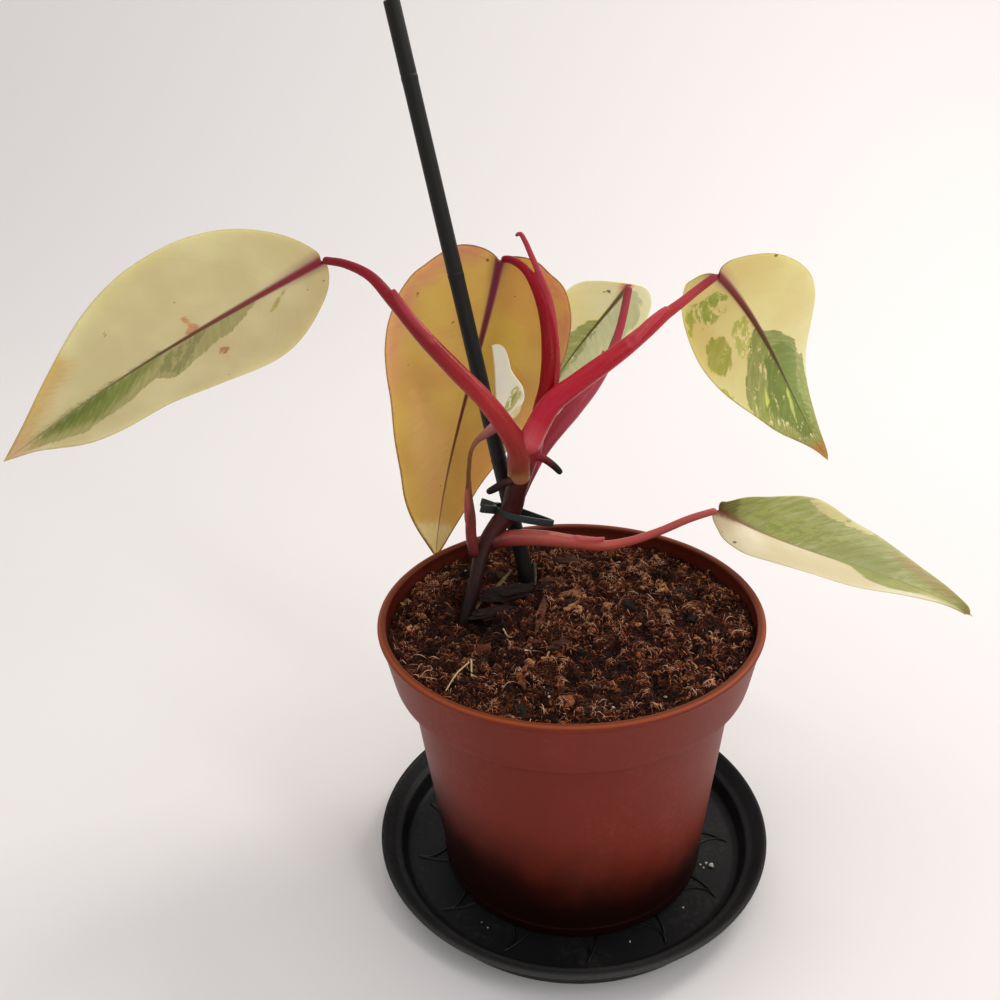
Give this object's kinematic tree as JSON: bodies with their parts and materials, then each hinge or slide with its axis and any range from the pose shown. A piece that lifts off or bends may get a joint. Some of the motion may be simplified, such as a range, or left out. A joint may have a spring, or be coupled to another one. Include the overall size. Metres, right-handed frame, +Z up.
{
  "type": "potted strawberry shake philodendron",
  "caption": "Potted climbing aroid house plant with marbled cream and green leaves, clipped to a cane in a round nursery pot on a drip saucer.",
  "frame": {"origin": "on the axis of the pot and the saucer, in the plane that the saucer stands on", "axes": "+X to the right and +Y to the back as seen from the front, +Z up along the pot's axis"},
  "size_m": [0.4377, 0.2119, 0.3838],
  "materials": {
    "saucer_plastic": "matt black moulded polypropylene",
    "pot_plastic": "satin terracotta-brown moulded polypropylene",
    "soil": "damp coir fibre and bark potting mix",
    "cane": "bamboo, dark green, thinly lacquered",
    "clip_plastic": "dark grey-green moulded plastic",
    "stem": "dark maroon plant stem, slightly glossy",
    "petiole": "crimson leaf stalk, smooth and glossy",
    "blade_left": "cream and green leaf, smooth, semi-gloss",
    "blade_middle": "ochre leaf underside, smooth, semi-gloss",
    "blade_right": "cream and green mottled leaf, semi-gloss",
    "blade_rear": "cream and sage leaf, semi-gloss",
    "blade_lower": "green and cream leaf, glossy upper side",
    "blade_new": "young cream-white leaf, satin"
  },
  "bodies": {
    "root": {"saucer": "saucer_plastic", "pot": "pot_plastic", "soil": "soil", "cane": "cane", "clip": "clip_plastic", "stem": "stem", "petiole_right": "petiole", "petiole_left": "petiole", "petiole_middle": "petiole", "petiole_rear": "petiole", "petiole_lower": "petiole", "petiole_new": "petiole", "blade_left": "blade_left", "blade_middle": "blade_middle", "blade_right": "blade_right", "blade_rear": "blade_rear", "blade_lower": "blade_lower", "blade_new": "blade_new"}
  },
  "joints": []
}
